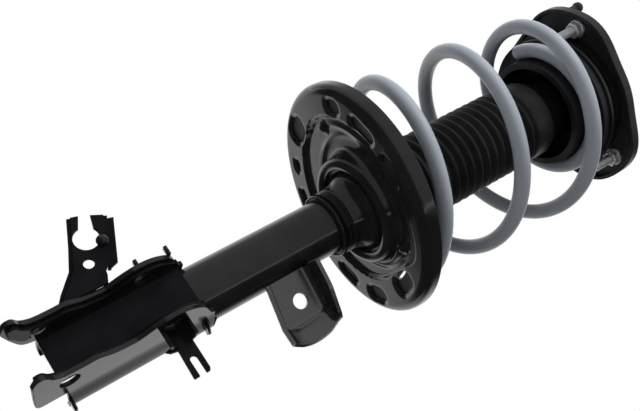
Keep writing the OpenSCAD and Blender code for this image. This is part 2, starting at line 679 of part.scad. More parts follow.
module knuckle_bracket() color("#161617") bracket_frame() difference() {
    union() {
        intersection() {
            translate([0, 0, bracket_foot]) cylinder(r = wrap_r, h = bracket_top - bracket_foot);
            translate([-2 * tube_r, -2 * tube_r, bracket_foot - 1]) cube([2 * tube_r + wrap_x - 0.4, 4 * tube_r, 200]);
        }
        side_plate(-flange_out, bracket_t) polygon(concat(upper_tip, flange_edge));
        side_plate(flange_in, bracket_t) polygon(concat(lower_tip, flange_edge));
        bracket_tab(35, -424, 7);
        bracket_tab(42, -450, 5);
        translate([0, 0, bracket_foot]) linear_extrude(2)
            polygon([[-4, 24.5], [8, 23.5], [6.5, 32], [2, 33], [-3, 29]]);
        translate([0, 0, -419]) linear_extrude(2)
            polygon([[0, 24], [10, 22], [11.5, 25.5], [6, 28], [-1, 31], [-6, 29], [-4, 25]]);
    }
    cylinder_at_tube();
    side_plate(-30, 60) polygon(wrap_notch);
    side_plate(-30, 30) polygon([for (p = wrap_notch) [min(p[0] + 13, 1), p[1] - (p[1] > bracket_foot ? 6 : 0)]]);
    knuckle_holes(-flange_out - 1, flange_out + 1);
}

// Inner channel: a web across the front of the tube, with a leg along each flange
module bracket_channel() color("#1a1a1b") bracket_frame() difference() {
    union() {
        translate([tube_r, -flange_in, channel_low]) cube([channel_t, 2 * flange_in, channel_high - channel_low]);
        for (y = [-flange_in, flange_in - channel_t]) side_plate(y, channel_t) polygon(concat(
            [[tube_r, channel_low], [lip - 2, flange_tip + 4]],
            [for (i = [1:13]) flange_edge[i] - [channel_inset, 0]],
            [[lip - 16, channel_high], [tube_r, channel_high]]));
    }
    knuckle_holes(-flange_in - 1, flange_in + 1);
}

module bracket_welds() color("#1d1d1e") bracket_frame() {
    intersection() {
        difference() {
            translate([0, 0, bracket_top]) cylinder(r1 = wrap_r, r2 = tube_r + 0.5, h = 4);
            translate([0, 0, bracket_top - 1]) cylinder(r = tube_r, h = 6);
        }
        translate([-2 * tube_r, -2 * tube_r, bracket_top]) cube([2 * tube_r, 4 * tube_r, 5]);
    }
}

// The link bracket's outline in Y and Z: its foot flares out and ends in a curve
link_outline = [[10, link_low], [link_bend_y, link_low], [link_end_y, link_low - 8], [link_end_y + 3, link_low + 5],
    [link_end_y + 4, link_low + 18], [link_end_y + 3, link_low + 30], [link_end_y, link_high + link_t],
    [10, link_high + link_t]];

module link_bracket() color("#1b1b1d") difference() {
    intersection() {
        union() {
            translate([0, 0, link_low - 9]) linear_extrude(link_high + link_t - link_low + 9) polygon([
                [link_x - link_t, 17], [link_x, 17], [link_x, link_bend_y - 1], [link_x + 11, link_end_y + 5],
                [link_x + 7.5, link_end_y + 7], [link_x - link_t, link_bend_y + 1]]);
            translate([0, 0, link_high]) linear_extrude(link_t) polygon([[link_x - link_t, 17],
                [link_x + link_wall_h, 19], [link_x + link_wall_h, 48], [link_x + link_wall_h - 4, 58],
                [link_x + 11, link_end_y + 5], [link_x + 7, link_end_y + 5], [link_x - link_t, link_bend_y]]);
            translate([0, 0, link_low]) linear_extrude(link_t) polygon([[link_x - link_t, 18], [link_x + 3, 18],
                [link_x + 3, link_bend_y - 3], [link_x + 5, link_bend_y], [link_x - link_t, link_bend_y]]);
        }
        face_plate(0, link_x + link_wall_h) polygon(link_outline);
    }
    translate([link_x - link_t - 1, link_hole_y, link_hole_z]) rotate([0, 90, 0]) cylinder(d = link_hole_d, h = link_t + 2);
    cylinder_at_tube();
}

// The strut tube's own body, cut out of what is welded to it
module cylinder_at_tube() {
    translate([0, 0, tube_bottom - 40]) cylinder(r = tube_r, h = tube_top - tube_bottom + 40);
}

module hose_bracket() color("#161617") bracket_frame() difference() {
    union() {
        face_plate(hose_s, hose_t) polygon(hose_plate);
        face_plate(hose_s - 9, 10) polygon([[-flange_out, -506], [-29, -501], [-42, -488], [-61, -478.5],
            [-81, -469.5], [-82, -472], [-62, -481], [-44, -490], [-31, -503], [-flange_out, -509]]);
        face_plate(hose_s - 6, 7) polygon([[-72, -448], [-35, -465], [-34, -462.7], [-71, -445.7]]);
        face_plate(hose_s - 6, hose_t) polygon([[-71.5, -447], [-70, -441], [-37, -456], [-34.5, -464]]);
    }
    translate([hose_s - 1, hose_slot[0], hose_slot[1]]) rotate([0, 90, 0]) cylinder(d = hose_slot_d, h = hose_t + 2);
    translate([hose_s - 1, hose_hole[0], hose_hole[1]]) rotate([0, 90, 0]) cylinder(d = hose_hole_d, h = hose_t + 2);
    face_plate(hose_s - 1, hose_t + 2) polygon(hose_mouth);
}

module hose_rivet() color("#8f9296") bracket_frame() translate([hose_s + hose_t, -54, -459]) rotate([0, 90, 0]) difference() {
    sphere(r = 4.5);
    translate([-6, -6, -12]) cube([12, 12, 12]);
}

module sensor_clip() color("#161617") bracket_frame() difference() {
    union() {
        intersection() {
            translate([clip_collar_x, flange_out, upper_hole_z]) rotate([-90, 0, 0])
                cylinder(r = clip_collar_r + clip_t, h = 14);
            translate([clip_s - 1, flange_out - 1, upper_hole_z - 20]) cube([clip_collar_r + clip_t + 2, 20, 40]);
        }
        face_plate(clip_s, clip_t) polygon([[flange_out + 4, clip_mid_z - 6.5], [34, clip_mid_z - 6],
            [35.5, clip_mid_z - 14], [38, clip_mid_z - 11], [39, clip_mid_z - 6],
            [clip_reach - 1, clip_mid_z - 7], [clip_reach, clip_mid_z - 6.5],
            [clip_reach, clip_mid_z + 5.5], [clip_reach - 2, clip_mid_z + 6.5], [flange_out + 4, clip_mid_z + 7]]);
    }
    translate([clip_collar_x, flange_out - 1, upper_hole_z]) rotate([-90, 0, 0]) cylinder(r = clip_collar_r, h = 20);
    translate([clip_s - 1, clip_fork + clip_slot_w / 2, clip_mid_z]) rotate([0, 90, 0])
        cylinder(d = clip_slot_w, h = clip_t + 2);
    face_plate(clip_s - 1, clip_t + 2) polygon([[clip_fork + clip_slot_w / 2, clip_mid_z - clip_slot_w / 2],
        [clip_reach + 2, clip_mid_z - clip_slot_w / 2], [clip_reach + 2, clip_mid_z + clip_slot_w / 2],
        [clip_fork + clip_slot_w / 2, clip_mid_z + clip_slot_w / 2]]);
}

mount_plate();
mount_dome();
mount_rubber();
mount_sleeve();
weld_nuts();
mount_bolts();
locating_pin();
bearing_upper_race();
bump_stop_cup();
rod_washer();
rod_nut();
piston_rod();
rebound_buffer();
piston();
piston_band();
piston_nut();
bump_stop();
bearing_lower_race();
bearing_balls();
bearing_cage();
upper_spring_seat();
upper_seat_rubber();
coil_spring();
dust_boot();
strut_tube();
pressure_tube();
base_valve();
rod_guide();
rod_bush();
rod_seal();
tube_cap();
tube_end();
lower_spring_seat();
seat_collar();
seat_gusset();
lower_seat_rubber();
knuckle_bracket();
bracket_channel();
link_bracket();
hose_bracket();
hose_rivet();
sensor_clip();
bracket_welds();
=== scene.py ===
"""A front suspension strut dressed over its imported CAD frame: looks, lights and camera.

Lengths are millimetres in the part's frame until mm() turns them into metres.
The frame's origin is the centre of the top mount's seating face, and +Z runs up the piston rod.
"""

import json
import math

import bmesh
import bpy
from mathutils import Matrix, Vector


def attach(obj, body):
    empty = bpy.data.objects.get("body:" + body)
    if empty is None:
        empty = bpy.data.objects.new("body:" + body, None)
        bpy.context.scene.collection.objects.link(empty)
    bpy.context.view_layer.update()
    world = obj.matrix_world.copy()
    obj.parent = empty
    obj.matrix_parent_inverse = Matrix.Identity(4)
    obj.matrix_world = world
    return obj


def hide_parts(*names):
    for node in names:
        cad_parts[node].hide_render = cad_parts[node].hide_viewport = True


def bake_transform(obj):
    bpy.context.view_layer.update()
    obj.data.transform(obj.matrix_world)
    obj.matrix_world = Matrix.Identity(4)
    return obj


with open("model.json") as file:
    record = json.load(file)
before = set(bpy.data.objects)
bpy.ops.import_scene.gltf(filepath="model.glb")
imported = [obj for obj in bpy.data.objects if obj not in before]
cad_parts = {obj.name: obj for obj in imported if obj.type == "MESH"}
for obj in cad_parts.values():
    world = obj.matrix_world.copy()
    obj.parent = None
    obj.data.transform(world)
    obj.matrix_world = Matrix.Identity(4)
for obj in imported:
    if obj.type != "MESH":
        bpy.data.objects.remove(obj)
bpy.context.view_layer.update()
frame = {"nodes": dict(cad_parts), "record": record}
nodes = frame["nodes"]

# --- sizes, in millimetres and degrees -----------------------------------------------------

MM = 0.001
SEAT_DROP = 253.0
SEAT_R = 101.5
SEAT_T = 3.0
SEAT_OFF = (-13.0, -8.0)
SEAT_TILT = (2.6, 2.6)
SEAT_FLOOR_H = 4.0
# The raised floor's edge, as marks of azimuth and radius.
SEAT_FLOOR_EDGE = [(0, 79), (10, 81), (30, 84), (46, 85), (54, 80), (62, 74), (75, 70), (100, 69),
                   (140, 69), (180, 69), (220, 69), (255, 70), (273, 74), (300, 75), (330, 76.5)]
SEAT_FLOOR_START = 52.0
SEAT_STEP_RUN = 3.4
SEAT_FILLET = 7.5
SEAT_RIM_H = 15.3
SEAT_RIM_FALL = 8.8
SEAT_COLUMNS = 420
BEAD_INSET, BEAD_WIDTH, BEAD_DEPTH = 8.0, 2.4, 1.0
RIDGE_R, RIDGE_SHIFT, RIDGE_WIDTH, RIDGE_H = 57.0, 5.0, 2.7, 2.4
# Each slot has its azimuth, its distance from the seat's axis, its length and its width.
SEAT_SLOTS = [(302, 85, 17, 11), (248, 83, 27, 19), (219, 82, 11, 6), (196, 84, 17, 8), (329, 83, 28, 10),
              (357, 83, 25, 10), (140, 85, 25, 9), (111, 86, 24, 12), (74, 81, 28, 15)]
# Each dimple has its azimuth and its distance from the seat's axis.
SEAT_DIMPLES = [(280, 65), (49, 68)]
DIMPLE_R, DIMPLE_DEPTH = 5.0, 4.5
SLOT_LIP = 1.8
ISOLATOR_T, ISOLATOR_HALF_W = 2.0, 7.6

TUBE_R = 22.5
COLLAR_R = TUBE_R + 3.8
COLLAR_LOW = -38.0
COLLAR_WAIST = -24.0
FLARE_R = 32.0
FLARE_Z = -10.0
BOSS_R = 44.0

WIRE_R = 6.65
COIL_R = 84.0
TOP_COIL_R = 56.2
DEAD_TURNS = 0.39
LIVE_TURNS = 3.0
TOP_TURNS = 0.6
SHRINK_TURNS = 0.56
FIRST_AZIMUTH = 133.0
TOP_COIL_Z = -36.65
COIL_GAP = 0.15
DEAD_COIL_Z = SEAT_T + ISOLATOR_T + WIRE_R + COIL_GAP
# The spring's climb starts gently over the share LIFT, slows to SLOW of its rate at LATE, and ends level.
CLIMB_LIFT = 0.01
CLIMB_LATE = 0.73
CLIMB_SLOW = 0.99

BOOT_TOP = -22.8
BOOT_SHOULDER = BOOT_TOP - 38
BOOT_NECK = BOOT_SHOULDER - 23
BOOT_FOOT = -225.0
BOOT_FOOT_H = 8.0
BOOT_RIBS = 15
BOOT_R = 36.2
BOOT_RIB_DEPTH = 4.5
BOOT_SLEEVE_R = 29.5
BOOT_NECK_R = BOOT_R - 1.2
BOOT_WALL = 1.6

BRACKET_TURN = -20.0
BRACKET_T = 3.5
FLANGE_Y = 23.5
WRAP_R = 26.0
BRACKET_TIP, BRACKET_FOOT, BRACKET_TOP = -550.0, -527.0, -411.5
KNUCKLE_X = 36.0
KNUCKLE_Z = (-447.0, -525.0)
KNUCKLE_R = 7.5
# The flanges' front edges and the backs of their tips, as marks of height and x.
FLANGE_FRONT = [(-550, 54), (-547, 60), (-541, 60.5), (-536, 53), (-528, 48), (-515, 47), (-504, 47),
                (-493, 42), (-481, 40), (-474, 40), (-461, 45), (-450, 47.5), (-440, 47), (-429, 42),
                (-421, 34), (-415, 20), (-411.5, 17.5)]
FLANGE_START = 17.0
UPPER_TIP = [(-550, 50), (-545, 36), (-538, 22), (-528, 17)]
LOWER_TIP = [(-550, 22), (-548, 18), (-545, 17), (-536, 17)]
WRAP_NOTCH = [(-40, -528), (-11, -528), (-12, -519), (-15, -511), (-19, -506), (-24, -504), (-40, -504)]
CHANNEL_T = 3.0
CHANNEL_TIP, CHANNEL_LOW, CHANNEL_HIGH = -546.5, -529.0, -419.0
CHANNEL_Y = FLANGE_Y - BRACKET_T
CHANNEL_ROUND = 10.0
CHANNEL_LEG_X = TUBE_R + CHANNEL_ROUND
CHANNEL_LEG_TIP = [(-546.5, 47), (-537, 33), (-529, CHANNEL_LEG_X)]
CHANNEL_SET_BACK = 3.5

LINK_X, LINK_T = 12.0, 3.5
LINK_LOW, LINK_HIGH = -365.0, -326.5
LINK_START, LINK_BEND = 19.0, 5.0
LINK_SPREAD = 5.4
LINK_FOOT_SLOPE, LINK_GROOVE_DEPTH, LINK_GROOVE_W = 0.58, 0.9, 1.8
# The link bracket's far end and the crease of its foot, as marks of height and y.
LINK_END = [(-361.5, 66), (-356, 70), (-347, 72.3), (-335, 71), (-326.5, 66.5)]
LINK_CREASE = [(-362, 54), (-352, 58), (-339, 57.5), (-331, 55), (-326.5, 52)]
# The height of its wall, as marks of y and height.
LINK_WALL = [(19, 20), (40, 19), (48, 16.5), (56, 13.5), (60, 12), (63.5, 10.6), (65.5, 9), (66.5, 6.8)]
LINK_HOLE = (41.0, -344.0)
LINK_HOLE_R = 6.25

# Each tab has its outline and the two ends that it is drawn out between: across the bracket, or upright.
CROSS_TABS = [([(35, -424), (40, -424), (40, -421.5), (35, -421.5)], -30, -23),
              ([(42, -450), (47, -450), (47, -447.5), (42, -447.5)], -28, -23)]
UPRIGHT_TABS = [([(-4, 24.5), (8, 23.5), (6.5, 32), (2, 33), (-3, 29)], -527, -525),
                ([(0, 24), (10, 22), (11.5, 25.5), (6, 28), (-1, 31), (-6, 29), (-4, 25)], -419, -417)]

BOLT_CIRCLE_R = 70.5
BOLT_AZIMUTH = 77.0
BOLT_R, BOLT_AF = 4.0, 13.0
BOLT_PITCH, THREAD_DEPTH = 1.25, 0.62
BOLT_END, NUT_LOW, NUT_HIGH, HEAD_H = -31.0, -12.0, -4.0, 6.0


def smooth(s):
    """0 below s = 0, 1 above s = 1, with a soft run between."""
    s = min(1.0, max(0.0, s))
    return s * s * (3 - 2 * s)


def mm(points):
    """Points in millimetres, in metres."""
    return [Vector(p) * MM for p in points]


def mesh_piece(name, points, faces, material, shade_smooth=True):
    """A mesh object from points in millimetres."""
    mesh = bpy.data.meshes.new(name)
    mesh.from_pydata(mm(points), [], faces)
    mesh.validate()
    mesh.update()
    piece = bpy.data.objects.new(name, mesh)
    bpy.context.scene.collection.objects.link(piece)
    piece.data.materials.append(material)
    if shade_smooth:
        mesh.shade_smooth()
    return piece


def fix_normals(piece):
    """Turns every face of a closed mesh outwards."""
    build = bmesh.new()
    build.from_mesh(piece.data)
    bmesh.ops.recalc_face_normals(build, faces=build.faces)
    build.to_mesh(piece.data)
    build.free()


def grid_faces(rows, columns, close_rows=False, close_columns=False):
    """Quads over a grid of points stored row by row."""
    faces = []
    for i in range(rows if close_rows else rows - 1):
        for j in range(columns if close_columns else columns - 1):
            a, b = i * columns + j, i * columns + (j + 1) % columns
            c, d = ((i + 1) % rows) * columns + (j + 1) % columns, ((i + 1) % rows) * columns + j
            faces.append((a, b, c, d))
    return faces


def end_caps(rows, columns):
    """The two flat ends of a grid with closed columns."""
    last = (rows - 1) * columns
    return [tuple(range(columns)), tuple(reversed(range(last, last + columns)))]


def lathe(name, profile, material, steps=128, place=lambda p: p):
    """A closed profile of (radius, height) turned round the Z axis."""
    points = []
    for r, z in profile:
        for j in range(steps):
            a = 2 * math.pi * j / steps
            points.append(place((r * math.cos(a), r * math.sin(a), z)))
    piece = mesh_piece(name, points, grid_faces(len(profile), steps, True, True), material)
    fix_normals(piece)
    return piece


def follow(marks, at):
    """A smooth curve's value at a place, through marks of (place, value) in rising order of place."""
    last = len(marks) - 1
    at = min(max(at, marks[0][0]), marks[last][0])
    i = max(k for k in range(last) if marks[k][0] <= at)
    before, start, stop, after = (marks[min(max(k, 0), last)] for k in (i - 1, i, i + 1, i + 2))
    span = stop[0] - start[0]
    t = (at - start[0]) / span
    slope1 = span * (stop[1] - before[1]) / (stop[0] - before[0])
    slope2 = span * (after[1] - start[1]) / (after[0] - start[0])
    return (start[1] * (2 * t ** 3 - 3 * t * t + 1) + stop[1] * (3 * t * t - 2 * t ** 3)
            + slope1 * (t ** 3 - 2 * t * t + t) + slope2 * (t ** 3 - t * t))


def prism(outline, low, high, place):
    """A closed solid: an outline in a plane, drawn out from low to high and put in place."""
    count = len(outline)
    points = [place(p, depth) for depth in (low, high) for p in outline]
    faces = [(i, (i + 1) % count, count + (i + 1) % count, count + i) for i in range(count)]
    faces += [tuple(reversed(range(count))), tuple(range(count, 2 * count))]
    piece = mesh_piece("prism", points, faces, PAINT)
    fix_normals(piece)
    return piece


def circle(centre, radius, steps=64):
    """A round outline."""
    turns = (2 * math.pi * k / steps for k in range(steps))
    return [(centre[0] + radius * math.cos(a), centre[1] + radius * math.sin(a)) for a in turns]


def apply_modifiers(piece):
    """Replaces the piece's mesh with what its modifiers make."""
    depsgraph = bpy.context.evaluated_depsgraph_get()
    made = bpy.data.meshes.new_from_object(piece.evaluated_get(depsgraph))
    piece.modifiers.clear()
    piece.data = made


def press(piece, thickness, cutters, sharp=40):
    """Gives a sheet its thickness, on the side away from its normals, and cuts its openings."""
    sheet = piece.modifiers.new("sheet", "SOLIDIFY")
    sheet.thickness = thickness * MM
    sheet.offset = -1
    for cutter in cutters:
        cut = piece.modifiers.new("opening", "BOOLEAN")
        cut.object, cut.operation, cut.solver = cutter, "DIFFERENCE", "MANIFOLD"
    apply_modifiers(piece)
    for cutter in cutters:
        bpy.data.objects.remove(cutter)
    piece.data.shade_smooth()
    piece.data.set_sharp_from_angle(angle=math.radians(sharp))


# --- materials -----------------------------------------------------------------------------

def base_material(name, colour, roughness, metallic=0.0):
    """A material with plain values, and its shader node."""
    material = bpy.data.materials.new(name)
    material.use_nodes = True
    shader = material.node_tree.nodes["Principled BSDF"]
    shader.inputs["Base Color"].default_value = (*colour, 1)
    shader.inputs["Roughness"].default_value = roughness
    shader.inputs["Metallic"].default_value = metallic
    return material, shader


def add_noise(tree, scale, detail=3.0):
    """A noise texture in the object's own coordinates. Scale is in features per metre."""
    place = tree.nodes.new("ShaderNodeTexCoord")
    noise = tree.nodes.new("ShaderNodeTexNoise")
    noise.inputs["Scale"].default_value = scale
    noise.inputs["Detail"].default_value = detail
    tree.links.new(place.outputs["Object"], noise.inputs["Vector"])
    return noise.outputs["Fac"]


def map_range(tree, value, start, stop, low, high, curve="LINEAR"):
    """The value's run from start to stop, mapped to low to high."""
    node = tree.nodes.new("ShaderNodeMapRange")
    node.interpolation_type = curve
    node.inputs["From Min"].default_value = start
    node.inputs["From Max"].default_value = stop
    node.inputs["To Min"].default_value = low
    node.inputs["To Max"].default_value = high
    tree.links.new(value, node.inputs["Value"])
    return node.outputs["Result"]


def spread(tree, noise, low, high):
    """The run that the noise mostly keeps to, mapped to low to high."""
    return map_range(tree, noise, 0.3, 0.7, low, high)


def mix_colours(tree, factor, first, second):
    """The first colour where the factor is 0, the second where it is 1."""
    node = tree.nodes.new("ShaderNodeMix")
    node.data_type = "RGBA"
    node.inputs["A"].default_value = (*first, 1)
    node.inputs["B"].default_value = (*second, 1)
    tree.links.new(factor, node.inputs["Factor"])
    return node.outputs["Result"]


def mix_shaders(tree, factor, first, second):
    """The first shader where the factor is 0, the second where it is 1."""
    node = tree.nodes.new("ShaderNodeMixShader")
    tree.links.new(factor, node.inputs["Fac"])
    tree.links.new(first, node.inputs[1])
    tree.links.new(second, node.inputs[2])
    return node.outputs["Shader"]


def surface(name, colour, other, roughness, rough_span, grain, bump, edge=0.0, metallic=0.0, mottle=45.0):
    """A material with mottled colour and gloss, a fine bump, and edges softened by a small radius."""
    material, shader = base_material(name, colour, roughness, metallic)
    tree = material.node_tree
    patches = add_noise(tree, mottle, 4)
    tree.links.new(mix_colours(tree, spread(tree, patches, 0, 1), colour, other), shader.inputs["Base Color"])
    tree.links.new(spread(tree, patches, roughness - rough_span, roughness + rough_span),
                   shader.inputs["Roughness"])
    bumps = tree.nodes.new("ShaderNodeBump")
    bumps.inputs["Strength"].default_value = bump
    bumps.inputs["Distance"].default_value = 0.0002
    tree.links.new(add_noise(tree, grain, 2), bumps.inputs["Height"])
    if edge:
        bevel = tree.nodes.new("ShaderNodeBevel")
        bevel.samples = 6
        bevel.inputs["Radius"].default_value = edge * MM
        tree.links.new(bevel.outputs["Normal"], bumps.inputs["Normal"])
    tree.links.new(bumps.outputs["Normal"], shader.inputs["Normal"])
    return material


BLACK, BLACK_WORN = (0.006, 0.006, 0.007), (0.010, 0.010, 0.011)
PAINT = surface("black_ecoat", BLACK, BLACK_WORN, 0.13, 0.04, grain=420, bump=0.12, edge=0.9)
PLATE_PAINT = surface("black_ecoat_dull", (0.009, 0.009, 0.010), (0.016, 0.016, 0.018), 0.36, 0.06,
                      grain=600, bump=0.3, edge=1.2)
# Painted shade: a darker copy of the black paint with little gloss, for the inner channel, the hose bracket
# and the sensor clip, where the reflected light ends.
SHADED_PAINT = surface("black_ecoat_painted_shade", (0.003, 0.003, 0.004), BLACK, 0.2, 0.05,
                     grain=420, bump=0.12, edge=0.9)
LINK_PAINT = surface("black_ecoat_lit", BLACK, BLACK_WORN, 0.24, 0.06, grain=420, bump=0.12, edge=0.9)
COIL_COAT = surface("grey_powder_coat", (0.200, 0.218, 0.246), (0.212, 0.231, 0.259), 0.30, 0.015,
                    grain=900, bump=0.3)
ZINC = surface("bright_zinc", (0.86, 0.88, 0.90), (0.74, 0.76, 0.77), 0.36, 0.07,
               grain=800, bump=0.25, edge=0.25, metallic=0.8, mottle=160)
STEEL = surface("plain_steel", (0.40, 0.41, 0.42), (0.30, 0.30, 0.31), 0.36, 0.08,
                grain=700, bump=0.3, edge=0.4, metallic=1.0, mottle=90)
CHROME = surface("hard_chrome", (0.82, 0.83, 0.85), (0.78, 0.79, 0.81), 0.09, 0.02,
                 grain=300, bump=0.05, edge=0.3, metallic=1.0, mottle=30)
RUBBER = surface("moulded_rubber", (0.008, 0.008, 0.009), (0.014, 0.014, 0.015), 0.50, 0.08,
                 grain=900, bump=0.5, edge=0.6)
BOOT = surface("boot_rubber", (0.006, 0.006, 0.007), (0.011, 0.011, 0.012), 0.42, 0.07,
               grain=700, bump=0.4)
PLASTIC = surface("black_plastic", (0.007, 0.007, 0.008), (0.012, 0.012, 0.013), 0.34, 0.06,
                  grain=1100, bump=0.4, edge=0.6)
CAGE = surface("cage_plastic", (0.62, 0.58, 0.48), (0.66, 0.63, 0.53), 0.45, 0.05,
               grain=900, bump=0.3, edge=0.3)
FOAM = surface("stop_foam", (0.58, 0.50, 0.30), (0.66, 0.58, 0.36), 0.75, 0.08,
               grain=1500, bump=0.8, edge=0.5)
PTFE = surface("bearing_liner", (0.05, 0.14, 0.09), (0.07, 0.17, 0.11), 0.5, 0.05,
               grain=900, bump=0.3, edge=0.3)

# The low level for the darker copy of the black paint is part of its painted shade.
SPECULAR = ((PLATE_PAINT, 0.3), (SHADED_PAINT, 0.08), (LINK_PAINT, 1.0), (RUBBER, 0.35), (BOOT, 0.35),
            (PLASTIC, 0.35))
for coat, level in SPECULAR:
    coat.node_tree.nodes["Principled BSDF"].inputs["Specular IOR Level"].default_value = level
LINK_PAINT.node_tree.nodes["Principled BSDF"].inputs["IOR"].default_value = 1.75

FINISH = {
    "black_paint": PAINT, "coil_coat": COIL_COAT, "zinc": ZINC, "steel": STEEL, "chrome": CHROME,
    "rubber": RUBBER, "boot_rubber": BOOT, "black_plastic": PLASTIC, "cage_plastic": CAGE, "foam": FOAM,
    "ptfe": PTFE,
}
for part in frame["record"]["subparts"]:
    cad_mesh = nodes[part["node"]].data
    cad_mesh.materials.clear()
    cad_mesh.materials.append(FINISH[part["material_slot"]])
for name in ("mount_plate", "mount_dome", "locating_pin"):
    nodes[name].data.materials[0] = PLATE_PAINT
# These three get the darker copy of the black paint, with its painted shade.
for name in ("bracket_channel", "hose_bracket", "sensor_clip"):
    nodes[name].data.materials[0] = SHADED_PAINT


# --- coil spring ---------------------------------------------------------------------------

def climb(turn):
    """Share of the spring's climb done after so many live turns."""
    def lifted(s):
        return s * s / (2 * CLIMB_LIFT) if s < CLIMB_LIFT else s - CLIMB_LIFT / 2

    def climbed(s):
        if s < CLIMB_LATE:
            return s - (1 - CLIMB_SLOW) / (2 * CLIMB_LATE) * s * s
        past = s - CLIMB_LATE
        return ((1 + CLIMB_SLOW) / 2 * CLIMB_LATE + CLIMB_SLOW * past
                - CLIMB_SLOW / (2 * (1 - CLIMB_LATE)) * past * past)

    share = min(1.0, max(0.0, turn / LIVE_TURNS))
    return climbed(lifted(share)) / climbed(lifted(1.0))


def wire_centre(turn):
    """The wire's centre after so many turns from the lower seat."""
    azimuth = math.radians(FIRST_AZIMUTH - 360 * turn)
    drawn_in = smooth((turn - LIVE_TURNS + SHRINK_TURNS) / SHRINK_TURNS)
    r = COIL_R + (TOP_COIL_R - COIL_R) * drawn_in
    share = climb(turn)
    low = -SEAT_DROP + DEAD_COIL_Z
    lean = (1 - drawn_in) * r * (math.tan(math.radians(SEAT_TILT[0])) * math.cos(azimuth)
                                 + math.tan(math.radians(SEAT_TILT[1])) * math.sin(azimuth))
    return Vector((SEAT_OFF[0] * (1 - share) + r * math.cos(azimuth),
                   SEAT_OFF[1] * (1 - share) + r * math.sin(azimuth),
                   low + (TOP_COIL_Z - low) * share - lean))


def coil_spring():
    """The wire as a round tube on its path. Each ring is a true circle round the path."""
    rings_per_turn, sides, end_bevel = 96, 24, 1.2
    length = DEAD_TURNS + LIVE_TURNS + TOP_TURNS
    count = round(length * rings_per_turn) + 1
    turns = [-DEAD_TURNS + length * i / (count - 1) for i in range(count)]
    sections = [(turns[0], WIRE_R - end_bevel, -end_bevel)]
    sections += [(t, WIRE_R, 0) for t in turns]
    sections += [(turns[-1], WIRE_R - end_bevel, end_bevel)]
    points, weights = [], []
    for turn, radius, shift in sections:
        centre = wire_centre(turn)
        along = (wire_centre(turn + 0.004) - wire_centre(turn - 0.004)).normalized()
        azimuth = math.radians(FIRST_AZIMUTH - 360 * turn)
        out = Vector((math.cos(azimuth), math.sin(azimuth), 0))
        out = (out - along * along.dot(out)).normalized()
        up = along.cross(out)
        for k in range(sides):
            a = 2 * math.pi * k / sides
            points.append(centre + along * shift + radius * (math.cos(a) * out + math.sin(a) * up))
            weights.append(1 - climb(turn))
    faces = grid_faces(len(sections), sides, False, True) + end_caps(len(sections), sides)
    piece = mesh_piece("spring_wire", points, faces, COIL_COAT)
    fix_normals(piece)
    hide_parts("coil_spring")
    follow_seats(piece)


def follow_seats(piece):
    """Bakes the piece's place into its mesh."""
    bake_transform(piece)


# --- dust boot -----------------------------------------------------------------------------

def dust_boot():
    """The sleeve, its neck, and the ribs, as round lobes with narrow grooves between them."""
    steps, per_rib = 128, 12
    span = BOOT_NECK - BOOT_FOOT - BOOT_FOOT_H
    pitch = span / BOOT_RIBS
    root = BOOT_R - BOOT_RIB_DEPTH
    outside = [(BOOT_SLEEVE_R, BOOT_TOP), (BOOT_SLEEVE_R, BOOT_SHOULDER + 6),
               (BOOT_SLEEVE_R + 0.6, BOOT_SHOULDER + 3.2), (BOOT_SLEEVE_R + 2.2, BOOT_SHOULDER + 1.2),
               (BOOT_NECK_R - 2, BOOT_SHOULDER + 0.2), (BOOT_NECK_R - 0.6, BOOT_SHOULDER - 0.6),
               (BOOT_NECK_R, BOOT_SHOULDER - 2), (BOOT_NECK_R, BOOT_NECK + 4),
               (BOOT_NECK_R - 0.4, BOOT_NECK + 2.6), (BOOT_NECK_R - 1.6, BOOT_NECK + 1.4)]
    for i in range(BOOT_RIBS):
        for k in range(per_rib):
            share = k / per_rib
            lobe = 1 - math.sqrt((2 * share - 1) ** 2 + 0.01) + 0.1
            outside.append((root + BOOT_RIB_DEPTH * lobe, BOOT_NECK - (i + share) * pitch))
    outside += [(root, BOOT_FOOT + BOOT_FOOT_H), (root + 1.2, BOOT_FOOT + BOOT_FOOT_H - 1.5),
                (root + 1.2, BOOT_FOOT + 1), (root + 0.4, BOOT_FOOT)]
    inside = [(r - BOOT_WALL, z) for r, z in reversed(outside)]
    profile = outside + inside
    piece = lathe("ribbed_boot", profile, BOOT, steps)
    weights = []
    for r, z in profile:
        weights += [min(1.0, max(0.0, (BOOT_NECK - z) / span))] * steps
    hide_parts("dust_boot")
    follow_seats(piece)


# --- lower spring seat ---------------------------------------------------------------------

def seat_turn():
    tilt_x, tilt_y = (math.radians(t) for t in SEAT_TILT)
    return Matrix.Rotation(tilt_x, 3, "Y") @ Matrix.Rotation(-tilt_y, 3, "X")


def seat_place(point):
    """A point of the seat's own tilted frame, in the part's frame."""
    return seat_turn() @ Vector(point) + Vector((*SEAT_OFF, -SEAT_DROP))


def edge_radius(azimuth):
    """The raised floor's radius at an azimuth in degrees, on a smooth closed curve through its marks."""
    before, after = SEAT_FLOOR_EDGE[-1], SEAT_FLOOR_EDGE[:2]
    marks = [(before[0] - 360, before[1])] + SEAT_FLOOR_EDGE + [(a + 360, r) for a, r in after]
    return follow(marks, azimuth % 360)


def slot_distance(x, y, slot):
    """Distance outside a round-ended slot, below zero inside it."""
    azimuth, radius, length, width = slot
    a = math.radians(azimuth)
    across, along = x * math.cos(a) + y * math.sin(a) - radius, -x * math.sin(a) + y * math.cos(a)
    run = max(0.0, (length - width) / 2)
    return math.hypot(across, max(0.0, abs(along) - run)) - width / 2


